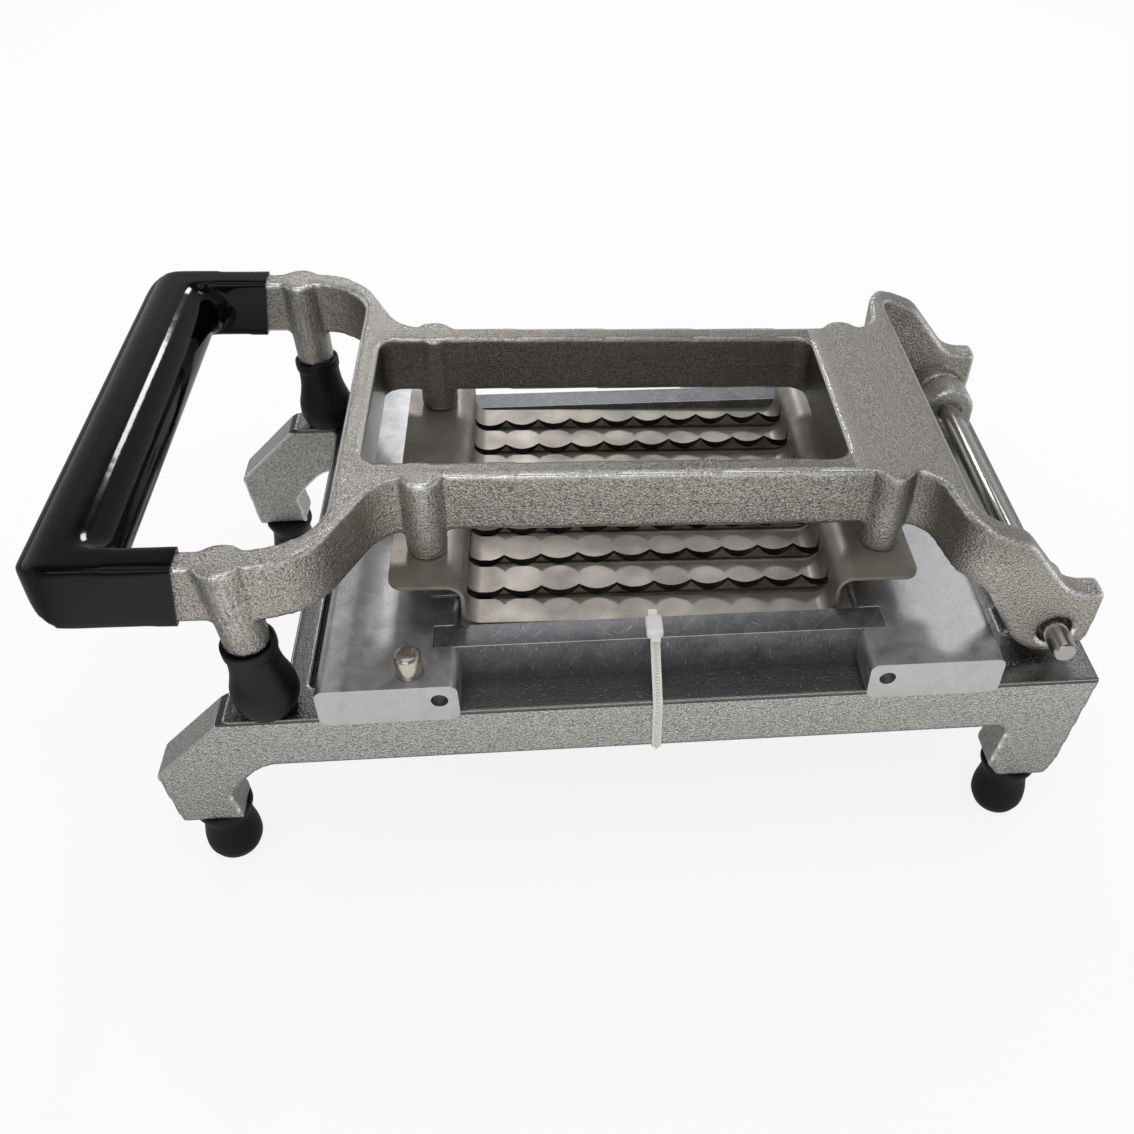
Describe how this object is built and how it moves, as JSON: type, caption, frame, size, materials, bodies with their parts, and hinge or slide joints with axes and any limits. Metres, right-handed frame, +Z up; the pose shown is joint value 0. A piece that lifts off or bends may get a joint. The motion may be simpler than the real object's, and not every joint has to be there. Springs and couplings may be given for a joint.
{
  "type": "manual meat slicer",
  "caption": "Hand lever slicer for boned meat: cast base on rubber feet, hinged lever with slotted pusher pan, upright scalloped blades.",
  "frame": {"origin": "centre of the bounding box on the table plane, under the middle of the object", "axes": "+X along the length towards the hinge, +Y towards the rear, +Z up"},
  "size_m": [0.3929, 0.21, 0.1674],
  "materials": {
    "cast_aluminium": "tumbled satin casting",
    "block_aluminium": "tumbled bar with sawn ends",
    "steel": "bright ground",
    "blade_steel": "polished with dark ground bevels",
    "pan_steel": "fine polished sheet",
    "rubber": "satin black",
    "vinyl": "gloss black dip",
    "nylon": "translucent white"
  },
  "bodies": {
    "base": {"base_casting": "cast_aluminium", "foot_front_left": "rubber", "foot_front_right": "rubber", "foot_rear_left": "rubber", "foot_rear_right": "rubber", "foot_screws": "steel", "left_block": "block_aluminium", "right_block": "block_aluminium", "front_bar": "block_aluminium", "rear_bar": "block_aluminium", "left_blade_rod": "steel", "right_blade_rod": "steel", "blade_1": "blade_steel", "blade_2": "blade_steel", "blade_3": "blade_steel", "blade_4": "blade_steel", "blade_5": "blade_steel", "blade_6": "blade_steel", "blade_7": "blade_steel", "locating_pins": "steel", "hinge_rod": "steel", "cable_tie": "nylon"},
    "handle": {"handle_casting": "cast_aluminium", "grip": "vinyl", "front_bumper": "rubber", "rear_bumper": "rubber", "bumper_screws": "steel", "pusher_pan": "pan_steel", "pan_screws": "steel"}
  },
  "joints": [
    {"name": "handle_hinge", "type": "hinge", "parent": "base", "child": "handle", "pos_m": [0.1778, 0, 0.1041], "axis": [0, 1, 0], "range_deg": [0, 90]}
  ]
}
